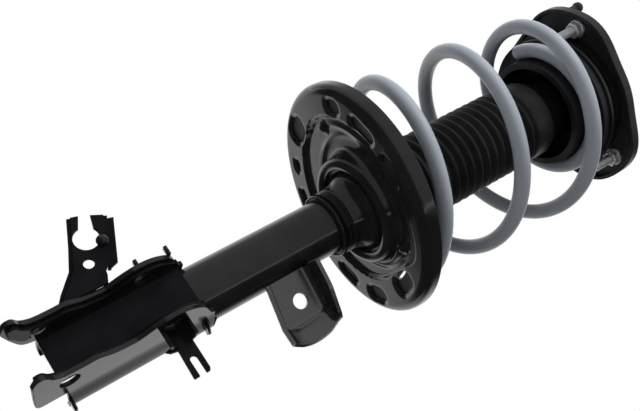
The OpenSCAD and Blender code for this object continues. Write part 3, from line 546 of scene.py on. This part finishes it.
def seat_height(x, y):
    """Height of the seat's underside in its own frame: flat under the coil, with a raised floor inside.

    The floor has a shallow bead along one side of its edge, two dimples, and a ridge round half of the hub.
    """
    r, azimuth = math.hypot(x, y), math.degrees(math.atan2(y, x))
    inside = edge_radius(azimuth) - r
    z = SEAT_FLOOR_H * smooth(inside / SEAT_STEP_RUN + 0.5)
    bead = math.exp(-((inside - BEAD_INSET) / BEAD_WIDTH) ** 2)
    z -= BEAD_DEPTH * bead * smooth(math.cos(math.radians(azimuth + 10)) * 1.3)
    for a, radius in SEAT_DIMPLES:
        gap = math.hypot(x - radius * math.cos(math.radians(a)), y - radius * math.sin(math.radians(a)))
        z -= DIMPLE_DEPTH * smooth(1.25 - gap / DIMPLE_R)
    hub_x, hub_y = x + SEAT_OFF[0], y + SEAT_OFF[1]
    hub_r, hub_a = math.hypot(hub_x, hub_y), math.degrees(math.atan2(hub_y, hub_x))
    ridge_r = RIDGE_R + RIDGE_SHIFT * math.cos(math.radians(hub_a + 60))
    ridge = math.exp(-((hub_r - ridge_r) / RIDGE_WIDTH) ** 2)
    z -= RIDGE_H * ridge * (0.5 - 0.5 * math.cos(math.radians(hub_a + 15)))
    return z


def seat_direction(j):
    """The way from the hub's axis along one of the seat's columns."""
    a = 2 * math.pi / SEAT_COLUMNS * j
    return math.cos(a), math.sin(a)


def floor_point(j, r):
    """A point of the seat's surface in one column, at a distance from the hub's axis."""
    dx, dy = seat_direction(j)
    x, y = r * dx - SEAT_OFF[0], r * dy - SEAT_OFF[1]
    return seat_place((x, y, seat_height(x, y)))


def flat_reach(j):
    """Distance from the hub's axis to the edge of the seat's flat part, in one column."""
    dx, dy = seat_direction(j)
    ox, oy = -SEAT_OFF[0], -SEAT_OFF[1]
    along, flat_r = ox * dx + oy * dy, SEAT_R - SEAT_FILLET
    return -along + math.sqrt(along * along + flat_r * flat_r - ox * ox - oy * oy)


def hub_rows():
    """The hub's rolled edge, round the tube's own axis."""
    profile = [(BOSS_R - 7.6, FLARE_Z + 3.5), (BOSS_R - 7.3, FLARE_Z + 1.2), (BOSS_R - 6.4, FLARE_Z - 0.4),
               (BOSS_R - 5, FLARE_Z - 1.2), (BOSS_R - 3, FLARE_Z - 1.5), (BOSS_R - 1, FLARE_Z - 1.3),
               (BOSS_R + 0.6, FLARE_Z - 0.4), (BOSS_R + 1.8, FLARE_Z + 1.3), (BOSS_R + 2.4, FLARE_Z + 3)]
    ways = [seat_direction(j) for j in range(SEAT_COLUMNS)]
    return [[Vector((r * dx, r * dy, z - SEAT_DROP)) for dx, dy in ways] for r, z in profile]


def wall_rows(count=7):
    """The wall that runs from the hub's edge out to the floor."""
    start_r, start_z = BOSS_R + 2.4, FLARE_Z + 3 - SEAT_DROP
    rows = []
    for k in range(1, count + 1):
        share = k / count
        r = start_r + (SEAT_FLOOR_START - start_r) * (0.35 * share + 0.65 * share * share)
        lift = math.sin(share * math.pi / 2) ** 1.2
        row = [floor_point(j, r) for j in range(SEAT_COLUMNS)]
        for point in row:
            point.z = start_z * (1 - lift) + point.z * lift
        rows.append(row)
    return rows


def floor_rows(count=44):
    """The floor and the coil's track, out to where the rim starts."""
    reach = [flat_reach(j) for j in range(SEAT_COLUMNS)]
    rows = []
    for k in range(1, count + 1):
        share = k / count
        rows.append([floor_point(j, SEAT_FLOOR_START + (far - SEAT_FLOOR_START) * share)
                     for j, far in enumerate(reach)])
    return rows


def rim_rows(count=9):
    """The turned-up rim, trimmed lower towards one side."""
    flat_r = SEAT_R - SEAT_FILLET
    rows = []
    for k in range(1, count + 1):
        row = []
        for j in range(SEAT_COLUMNS):
            dx, dy = seat_direction(j)
            reach = flat_reach(j)
            x, y = reach * dx - SEAT_OFF[0], reach * dy - SEAT_OFF[1]
            top = SEAT_RIM_H - SEAT_RIM_FALL / 2 + x / flat_r * SEAT_RIM_FALL / 2
            whole = math.acos(max(0.0, 1 - (top - 0.6) / SEAT_FILLET))
            lean = whole * min(1.0, k / (count - 1))
            r = flat_r + SEAT_FILLET * math.sin(lean)
            z = top if k == count else SEAT_FILLET * (1 - math.cos(lean))
            row.append(seat_place((x * r / flat_r, y * r / flat_r, z)))
        rows.append(row)
    return rows


def turn_in_slots(points):
    """Lifts the sheet round each slot, so that the slots' edges are turned in."""
    unplace = seat_turn().transposed()
    for i, p in enumerate(points):
        local = unplace @ (p - Vector((*SEAT_OFF, -SEAT_DROP)))
        if 50 < local.to_2d().length < SEAT_R - 5:
            distance = min(slot_distance(local.x, local.y, slot) for slot in SEAT_SLOTS)
            points[i] = p + seat_turn() @ Vector((0, 0, SLOT_LIP * (1 - smooth(distance / 4)) ** 1.5))


def spring_seat():
    """One pressing: the hub's edge, its wall, the raised floor, the coil's track and the rim."""
    rows = hub_rows() + wall_rows() + floor_rows() + rim_rows()
    points = [p for row in rows for p in row]
    turn_in_slots(points)
    piece = mesh_piece("seat_pressing", points, grid_faces(len(rows), SEAT_COLUMNS, False, True), PAINT)
    press(piece, SEAT_T - 0.2, [slot_cutter(slot) for slot in SEAT_SLOTS])
    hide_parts("lower_spring_seat", "seat_gusset")
    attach(piece, "strut")


def seat_isolator():
    """The ring of rubber that the coil lies on, seen through the seat's slots."""
    low, high, half, chamfer, steps = SEAT_T, SEAT_T + ISOLATOR_T, ISOLATOR_HALF_W, 0.6, 180
    section = [(-half, low), (half, low), (half, high - chamfer), (half - chamfer, high),
               (chamfer - half, high), (-half, high - chamfer)]
    points = []
    for k in range(steps):
        a = 2 * math.pi * k / steps
        for across, z in section:
            points.append(seat_place(((COIL_R + across) * math.cos(a), (COIL_R + across) * math.sin(a), z)))
    piece = mesh_piece("coil_isolator", points, grid_faces(steps, len(section), True, True), RUBBER, False)
    fix_normals(piece)
    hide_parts("lower_seat_rubber")
    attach(piece, "strut")


def slot_cutter(slot, steps=14):
    """A round-ended prism through the seat at one slot."""
    azimuth, radius, length, width = slot
    a = math.radians(azimuth)
    run = max(0.0, (length - width) / 2)
    outline = []
    for side in (1, -1):
        for k in range(steps + 1):
            turn = math.pi * k / steps + (0 if side > 0 else math.pi)
            across, along = width / 2 * math.cos(turn), side * run + width / 2 * math.sin(turn)
            outline.append((radius * math.cos(a) + across * math.cos(a) - along * math.sin(a),
                            radius * math.sin(a) + across * math.sin(a) + along * math.cos(a)))
    return prism(outline, -15, 25, lambda p, depth: seat_place((p[0], p[1], depth)))


def arc(r, z, size, start, stop, steps=6):
    """Points of a round stretch in a profile. The angles are in degrees."""
    angles = (math.radians(start + (stop - start) * k / steps) for k in range(steps + 1))
    return [(r + size * math.cos(a), z + size * math.sin(a)) for a in angles]


def hub():
    """The collar on the tube, with its grooves, and the flare up into the seat."""
    profile = [(TUBE_R, COLLAR_LOW)]
    profile += arc(COLLAR_R - 1, COLLAR_LOW + 1, 1, -90, 0)
    for groove in (COLLAR_LOW + 6, COLLAR_LOW + 10):
        profile += arc(COLLAR_R, groove, 1.1, 270, 90)
    profile += [(COLLAR_R, COLLAR_WAIST - 1), (COLLAR_R + 0.5, COLLAR_WAIST + 2),
                (COLLAR_R + 1.6, COLLAR_WAIST + 6), (COLLAR_R + 3.2, COLLAR_WAIST + 9.5),
                (FLARE_R - 0.6, FLARE_Z - 1.6), (FLARE_R + 0.2, FLARE_Z - 0.2),
                (FLARE_R + 0.7, FLARE_Z + 1.4), (FLARE_R + 1.1, FLARE_Z + 3.4), (FLARE_R + 2, FLARE_Z + 4.8),
                (BOSS_R - 9.5, FLARE_Z + 5), (BOSS_R - 8.2, FLARE_Z + 4.4), (BOSS_R - 7.6, FLARE_Z + 3.5),
                (BOSS_R - 7, FLARE_Z + 6), (BOSS_R - 9, FLARE_Z + 7.5), (FLARE_R - 1, FLARE_Z + 7.5),
                (FLARE_R - 2.6, FLARE_Z + 2), (COLLAR_R, COLLAR_WAIST + 11), (TUBE_R + 0.8, COLLAR_WAIST + 4),
                (TUBE_R, COLLAR_WAIST + 4)]
    piece = lathe("tube_collar", profile, PAINT, 128, lambda p: (p[0], p[1], p[2] - SEAT_DROP))
    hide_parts("seat_collar")
    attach(piece, "strut")


# --- brackets ------------------------------------------------------------------------------

def bracket_place(point):
    """A point of the knuckle bracket's own frame, in the part's frame."""
    return Matrix.Rotation(math.radians(BRACKET_TURN), 3, "Z") @ Vector(point)


def u_sheet(name, heights, middle, foot, side, material):
    """A sheet bent to a U. Each height has a row of points: one leg, the bend, then the other leg.

    middle is the bend's path, and side(sign, z) gives a leg's points from the bend out to its front edge.
    Below foot there are legs alone.
    """
    rows = []
    for z in heights:
        row = [(x, y, z) for x, y in reversed(side(-1, z))]
        row += [(x, y, z) for x, y in middle]
        row += [(x, y, z) for x, y in side(1, z)]
        rows.append(row)
    leg, width = len(side(1, heights[0])), len(rows[0])
    faces = []
    for i in range(len(rows) - 1):
        for j in range(width - 1):
            bend = leg - 1 <= j < width - leg
            if bend and heights[i] < foot:
                continue
            faces.append((i * width + j, i * width + j + 1, (i + 1) * width + j + 1, (i + 1) * width + j))
    used = sorted({k for face in faces for k in face})
    number = {k: n for n, k in enumerate(used)}
    flat = [p for row in rows for p in row]
    points = [bracket_place(flat[k]) for k in used]
    return mesh_piece(name, points, [tuple(number[k] for k in face) for face in faces], material)


def steps_between(low, high, step):
    """Even heights from low to high, at most a step apart."""
    count = max(1, math.ceil((high - low) / step))
    return [low + (high - low) * k / count for k in range(count + 1)]


def along_y(p, depth):
    """Puts a point of an (x, z) outline across the bracket's own frame."""
    return bracket_place((p[0], depth, p[1]))


def bracket_heights(tip, foot, top):
    """The heights of a bracket's rows, a little closer together below its foot."""
    return steps_between(tip, foot, 1.4) + steps_between(foot, top, 1.6)[1:]


def knuckle_cutters():
    """The two bolt holes, through both flanges."""
    return [prism(circle((KNUCKLE_X, z), KNUCKLE_R), -40, 40, along_y) for z in KNUCKLE_Z]


def knuckle_bracket():
    """The clevis: a sheet wrapped round the tube's back, with its two flanges."""
    wrap = arc(0, 0, WRAP_R, 100, 180, 20)
    (x0, y0), x1 = wrap[0], FLANGE_START
    run = [(x1 + (x0 - x1) * k / 12, FLANGE_Y + (y0 - FLANGE_Y) * smooth(k / 12)) for k in range(1, 12)]
    half = run + wrap
    middle = [(x, -y) for x, y in half] + [(x, y) for x, y in reversed(half[:-1])]

    def side(sign, z):
        start = FLANGE_START if z >= BRACKET_FOOT else follow(UPPER_TIP if sign < 0 else LOWER_TIP, z)
        front = max(start + 0.5, follow(FLANGE_FRONT, z))
        return [(start + (front - start) * k / 14, sign * FLANGE_Y) for k in range(15)]

    heights = bracket_heights(BRACKET_TIP, BRACKET_FOOT, BRACKET_TOP)
    piece = u_sheet("clevis", heights, middle, BRACKET_FOOT, side, PAINT)
    return piece, knuckle_cutters() + [prism(WRAP_NOTCH, -30, 30, along_y)]


def bracket_channel():
    """The inner channel, with round corners between its web and its legs."""
    web_y, web_steps = CHANNEL_Y - CHANNEL_ROUND, 8
    corner = arc(CHANNEL_LEG_X, web_y, CHANNEL_ROUND, 90, 180, 13)[1:-1]
    web = [(TUBE_R, web_y - 2 * web_y * k / web_steps) for k in range(web_steps + 1)]
    middle = [(x, -y) for x, y in corner + web] + [(x, y) for x, y in reversed(corner)]

    def side(sign, z):
        start = follow(CHANNEL_LEG_TIP, z)
        front = max(start + 0.5, follow(FLANGE_FRONT, z) - CHANNEL_SET_BACK)
        return [(start + (front - start) * k / 10, sign * CHANNEL_Y) for k in range(11)]

    heights = bracket_heights(CHANNEL_TIP, CHANNEL_LOW, CHANNEL_HIGH)
    return u_sheet("channel", heights, middle, CHANNEL_LOW, side, SHADED_PAINT), knuckle_cutters()


def link_bracket():
    """A scoop: its face turns up into a wall on one side and a low lip on the other, and its end bends out.

    Each row of points runs from the lip to the wall's edge. The last height in the section is the wall's own.
    """
    low, high, bend = LINK_LOW + LINK_T, LINK_HIGH, LINK_BEND
    section = [(low, 3.0), (low, 1.6), (low + 0.5, 0.6), (low + 1.6, 0.0)]
    section += [(low + 1.6 + (high - bend - low - 1.6) * k / 16, 0.0) for k in range(1, 17)]
    section += [(high - bend + bend * math.sin(math.radians(a)), bend * (1 - math.cos(math.radians(a))))
                for a in (15, 30, 45, 60, 75, 90)]
    section += [(high, None)]
    rows = []
    for k in range(81):
        row = []
        for z, h in section:
            y = LINK_START + (follow(LINK_END, z) - LINK_START) * k / 80
            drop = LINK_SPREAD * (y - LINK_START) / (LINK_END[0][1] - LINK_START) * (high - z) / (high - low)
            past = y - follow(LINK_CREASE, z)
            inside = smooth((z - low - 4) / 5) * smooth((high - 3 - z) / 5)
            groove = LINK_GROOVE_DEPTH * inside * math.exp(-(past / LINK_GROOVE_W) ** 2)
            foot = LINK_FOOT_SLOPE * max(0.0, past) - groove
            wall = max(0.5, follow(LINK_WALL, y) - foot)
            if h is None:
                h = wall
            elif z > high - bend:
                h *= min(1.0, wall / (bend + 0.5))
            row.append(Vector((LINK_X + foot + h, y, z - drop)))
        rows.append(row)
    piece = mesh_piece("link_scoop", [p for row in rows for p in row],
                       grid_faces(len(rows), len(section)), LINK_PAINT)
    cutters = [prism(circle(LINK_HOLE, LINK_HOLE_R), 0, 30, lambda p, depth: Vector((depth, p[0], p[1])))]
    return piece, cutters


def brackets():
    """The three bent sheets, each in place of its solid."""
    for made, node, thickness in ((knuckle_bracket(), "knuckle_bracket", BRACKET_T - 0.05),
                                  (bracket_channel(), "bracket_channel", CHANNEL_T),
                                  (link_bracket(), "link_bracket", LINK_T)):
        piece, cutters = made
        piece.data.flip_normals()
        press(piece, thickness, cutters)
        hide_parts(node)
        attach(piece, "strut")


def clevis_tabs():
    """The small tabs that stand off the flanges."""
    def upright(p, z):
        return bracket_place((p[0], p[1], z))

    pieces = [prism(outline, low, high, along_y) for outline, low, high in CROSS_TABS]
    pieces += [prism(outline, low, high, upright) for outline, low, high in UPRIGHT_TABS]
    for i, piece in enumerate(pieces):
        piece.name = "clevis_tab_%d" % i
        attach(piece, "strut")


# --- tower bolts ---------------------------------------------------------------------------

def hex_reach(a):
    """Distance from the axis to a hexagon's side, at an angle."""
    return BOLT_AF / 2 / math.cos((a + math.pi / 6) % (math.pi / 3) - math.pi / 6)


def bolt_rows():
    """A bolt's heights from its tip to its head, each with a radius and its kind of outline."""
    rows = [(BOLT_END, 2.2, "round"), (BOLT_END, 2.9, "round")]
    count = round((NUT_LOW - BOLT_END) / BOLT_PITCH * 8)
    rows += [(BOLT_END + 0.6 + (NUT_LOW - BOLT_END) * k / count, BOLT_R, "thread") for k in range(count + 1)]
    rows += [(NUT_LOW + 1, BOLT_R, "round"), (0, BOLT_R, "round"), (0, 0, "hex"), (HEAD_H - 0.8, 0, "hex"),
             (HEAD_H, BOLT_AF / 2 - 0.3, "round"), (HEAD_H, 2, "round")]
    return rows


def nut_rows():
    """The same for a weld nut, closed round its bore."""
    flat = BOLT_AF / 2
    return [(NUT_LOW + 0.9, BOLT_R + 0.1, "round"), (NUT_LOW, BOLT_R + 0.9, "round"),
            (NUT_LOW, flat - 0.3, "round"), (NUT_LOW + 0.8, 0, "hex"), (NUT_HIGH - 2.1, 0, "hex"),
            (NUT_HIGH - 2, flat + 1.5, "round"), (NUT_HIGH + 0.1, flat + 1.5, "round"),
            (NUT_HIGH + 0.1, BOLT_R + 0.1, "round")]


def turned(name, rows, centre, start, closed):
    """A piece turned round an upright axis, from rows of height, radius and kind of outline.

    A closed piece's last row runs on into its first. Any other piece gets flat ends.
    """
    columns, points = 48, []
    for z, r, kind in rows:
        for j in range(columns):
            a = 2 * math.pi * j / columns
            reach = hex_reach(a) if kind == "hex" else r
            if kind == "thread":
                reach -= THREAD_DEPTH * smooth(abs(2 * ((z / BOLT_PITCH - j / columns) % 1.0) - 1) * 1.2)
            points.append(centre + Vector((reach * math.cos(a + start), reach * math.sin(a + start), z)))
    faces = grid_faces(len(rows), columns, closed, True)
    if not closed:
        faces += end_caps(len(rows), columns)
    piece = mesh_piece(name, points, faces, ZINC)
    fix_normals(piece)
    piece.data.set_sharp_from_angle(angle=math.radians(25))
    return piece


def tower_bolts():
    """Bolts with a cut thread, and weld nuts with a round collar."""
    for i in range(3):
        azimuth = math.radians(BOLT_AZIMUTH + 120 * i)
        centre = Vector((BOLT_CIRCLE_R * math.cos(azimuth), BOLT_CIRCLE_R * math.sin(azimuth), 0))
        for name, rows, node in (("tower_bolt", bolt_rows(), "mount_bolts"),
                                 ("tower_nut", nut_rows(), "weld_nuts")):
            piece = turned("%s_%d" % (name, i), rows, centre, azimuth, node == "weld_nuts")
            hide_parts(node)
            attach(piece, "mount")


# --- camera and light ----------------------------------------------------------------------

CAMERA_AT = (0.64577, 0.0, -0.60989)
CAMERA_RIGHT = Vector((0.35776, 0.47399, 0.80457))
CAMERA_DOWN = Vector((-0.23163, 0.87972, -0.41526))
CAMERA_AHEAD = Vector((-0.90463, -0.03779, 0.42453))
FOCAL_PX, WIDTH_PX, SENSOR = 902.4, 640, 36.0
CENTRE_PX = (292.0, 205.4)
FRAME_CENTRE_PX = (320, 205.5)
AMBIENT = 0.22
STRIP_TURN = math.radians(37)
DARK = 0.03
LIGHT_TARGET = (0, 0, -0.26)
FLOOR_HALF, FLOOR_Z = 1.6, -0.64


def add_camera():
    """The photograph's camera, from its place, its axes and its focal length in pixels."""
    data = bpy.data.cameras.new("photo_camera")
    data.sensor_width = SENSOR
    data.lens = FOCAL_PX / WIDTH_PX * SENSOR
    data.shift_x = (FRAME_CENTRE_PX[0] - CENTRE_PX[0]) / WIDTH_PX
    data.shift_y = (CENTRE_PX[1] - FRAME_CENTRE_PX[1]) / WIDTH_PX
    data.clip_start, data.clip_end = 0.01, 20
    camera = bpy.data.objects.new("photo_camera", data)
    axes = Matrix((CAMERA_RIGHT, -CAMERA_DOWN, -CAMERA_AHEAD)).transposed()
    camera.matrix_world = Matrix.Translation(CAMERA_AT) @ axes.to_4x4()
    bpy.context.scene.collection.objects.link(camera)
    bpy.context.scene.camera = camera


def area_light(name, right, down, ahead, distance, width, height, watts):
    """A soft box placed by its direction from the object, along the camera's own axes."""
    data = bpy.data.lights.new(name, "AREA")
    data.shape = "RECTANGLE"
    data.size, data.size_y = width, height
    data.energy = watts
    lamp = bpy.data.objects.new(name, data)
    way = (CAMERA_RIGHT * right + CAMERA_DOWN * down + CAMERA_AHEAD * ahead).normalized()
    lamp.location = Vector(LIGHT_TARGET) + way * distance
    lamp.visible_glossy = False
    lamp.rotation_euler = (-way).to_track_quat("-Z", "Y").to_euler()
    bpy.context.scene.collection.objects.link(lamp)


def add_world():
    """White to the camera. In gloss it is bright behind the part, even above it, and dark elsewhere.

    A narrow bright strip along the axis gives the tube its sharp line of light.
    """
    world = bpy.data.worlds.new("studio")
    bpy.context.scene.world = world
    world.use_nodes = True
    tree = world.node_tree
    tree.nodes.clear()
    rays = tree.nodes.new("ShaderNodeLightPath")
    place = tree.nodes.new("ShaderNodeTexCoord")

    def zone(way, start, stop, level):
        """Light from the side that way points to, fading in from start to stop along it."""
        facing = tree.nodes.new("ShaderNodeVectorMath")
        facing.operation = "DOT_PRODUCT"
        facing.inputs[1].default_value = way
        tree.links.new(place.outputs["Generated"], facing.inputs[0])
        return map_range(tree, facing.outputs["Value"], start, stop, DARK, level, "SMOOTHSTEP")

    def light(strength):
        """White light of a plain strength, or of one that a node gives."""
        node = tree.nodes.new("ShaderNodeBackground")
        node.inputs["Color"].default_value = (1, 1, 1, 1)
        if isinstance(strength, float):
            node.inputs["Strength"].default_value = strength
        else:
            tree.links.new(strength, node.inputs["Strength"])
        return node.outputs["Background"]

    def combine(operation, first, second):
        node = tree.nodes.new("ShaderNodeMath")
        node.operation = operation
        tree.links.new(first, node.inputs[0])
        tree.links.new(second, node.inputs[1])
        return node.outputs["Value"]

    behind = zone(CAMERA_AHEAD, 0.35, 0.78, 1.0)
    above = zone(-CAMERA_DOWN, -0.28, -0.1, 0.42)
    strip_side = Vector((-math.sin(STRIP_TURN), math.cos(STRIP_TURN), 0))
    strip = combine("MINIMUM", zone(strip_side, -0.09, -0.03, 1.6), zone(-strip_side, -0.03, 0.03, 1.6))
    glossy = combine("MAXIMUM", combine("MAXIMUM", behind, above), strip)
    lit = mix_shaders(tree, rays.outputs["Is Glossy Ray"], light(AMBIENT), light(glossy))
    seen = mix_shaders(tree, rays.outputs["Is Camera Ray"], lit, light(1.0))
    out = tree.nodes.new("ShaderNodeOutputWorld")
    tree.links.new(seen, out.inputs["Surface"])


def add_floor():
    """A pale floor below the camera's view. To gloss rays it is no surface but a glow, a painted reflection:
    bright far out and dark under the part, as a black flag there would look.
    """
    material, shader = base_material("pale_floor", (0.82, 0.82, 0.82), 0.7)
    tree = material.node_tree
    place = tree.nodes.new("ShaderNodeTexCoord")
    parts = tree.nodes.new("ShaderNodeSeparateXYZ")
    tree.links.new(place.outputs["Object"], parts.inputs["Vector"])
    # Painted reflection: to gloss rays the floor glows, bright beyond x = -1 m and dark under the part.
    glow = tree.nodes.new("ShaderNodeEmission")
    reflection_strength = map_range(tree, parts.outputs["X"], -1.0, -0.68, 0.95, DARK, "SMOOTHSTEP")
    tree.links.new(reflection_strength, glow.inputs["Strength"])
    rays = tree.nodes.new("ShaderNodeLightPath")
    mixed = mix_shaders(tree, rays.outputs["Is Glossy Ray"], shader.outputs["BSDF"], glow.outputs["Emission"])
    tree.links.new(mixed, tree.nodes["Material Output"].inputs["Surface"])
    bpy.ops.mesh.primitive_plane_add(size=2 * FLOOR_HALF, location=(0, 0, FLOOR_Z))
    floor = bpy.context.object
    floor.name = "floor"
    floor.data.materials.append(material)


coil_spring()
dust_boot()
spring_seat()
seat_isolator()
hub()
brackets()
clevis_tabs()
tower_bolts()

add_camera()
add_world()
area_light("key", 0.5, -0.95, -0.15, distance=1.3, width=0.8, height=0.7, watts=28)
area_light("side", 0.95, -0.1, -0.35, distance=1.4, width=0.6, height=0.6, watts=6)
add_floor()
bpy.context.scene.view_settings.view_transform = "Standard"
